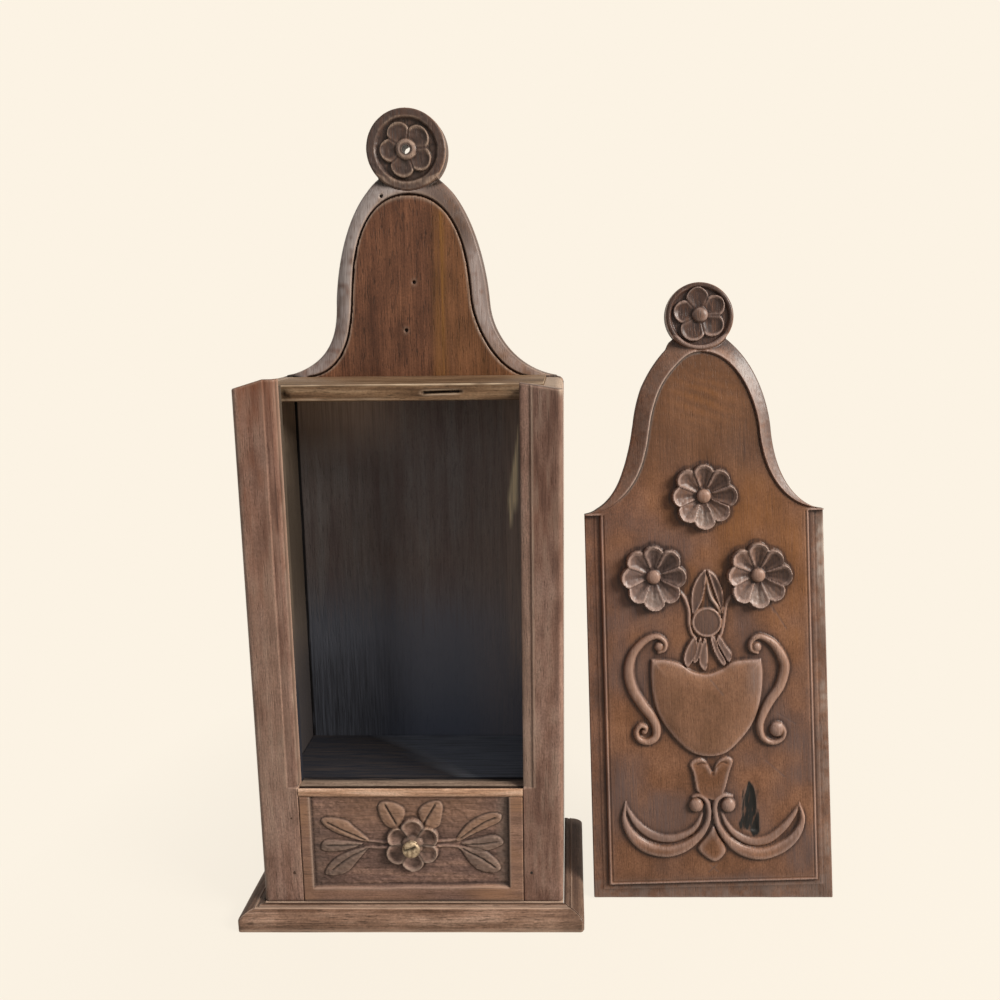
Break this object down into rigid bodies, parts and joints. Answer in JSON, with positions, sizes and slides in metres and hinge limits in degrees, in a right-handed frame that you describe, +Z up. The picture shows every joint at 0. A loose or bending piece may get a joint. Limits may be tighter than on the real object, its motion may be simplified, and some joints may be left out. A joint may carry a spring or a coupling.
{
  "type": "flour cabinet",
  "caption": "Narrow wall flour cabinet of carved walnut with a bell crest, a sliding carved lid shown drawn out beside it, and a small drawer under the flour compartment.",
  "frame": {"origin": "middle of the base's underside, on the surface that the cabinet stands on", "axes": "+X to the right seen from the front, +Y to the back towards the wall, +Z up"},
  "size_m": [0.4996, 0.1186, 0.6705],
  "materials": {
    "case_walnut": "old wax over planed walnut",
    "crest_walnut": "old wax over planed walnut",
    "inner_walnut": "darkened bare walnut",
    "base_walnut": "worn wax",
    "rail_walnut": "rubbed bare by use",
    "drawer_walnut": "old wax over carving",
    "lid_walnut": "polished wax over carving",
    "knob_brass": "dull",
    "nail_iron": "rusted"
  },
  "bodies": {
    "cabinet": {"base_board": "base_walnut", "base_moulding_front": "base_walnut", "base_moulding_left": "base_walnut", "base_moulding_right": "base_walnut", "backboard": "crest_walnut", "left_side": "case_walnut", "right_side": "case_walnut", "left_stile": "case_walnut", "right_stile": "case_walnut", "top_board": "case_walnut", "front_rail": "rail_walnut", "left_batten": "inner_walnut", "right_batten": "inner_walnut", "bottom_batten": "inner_walnut", "floor_board": "inner_walnut", "left_drawer_guide": "inner_walnut", "right_drawer_guide": "inner_walnut", "left_stile_nail_low": "nail_iron", "left_stile_nail_high": "nail_iron", "right_stile_nail_low": "nail_iron", "right_stile_nail_high": "nail_iron"},
    "drawer": {"drawer_front": "drawer_walnut", "drawer_left_side": "inner_walnut", "drawer_right_side": "inner_walnut", "drawer_back": "inner_walnut", "drawer_bottom": "inner_walnut", "drawer_knob": "knob_brass"},
    "lid": {"lid_board": "lid_walnut"}
  },
  "joints": [
    {"name": "drawer_slide", "type": "slide", "parent": "cabinet", "child": "drawer", "axis": [0, -1, 0], "range_m": [0, 0.075]},
    {"name": "lid_lift", "type": "slide", "parent": "cabinet", "child": "lid", "axis": [0, 0, 1], "range_m": [0, 0.335]}
  ]
}
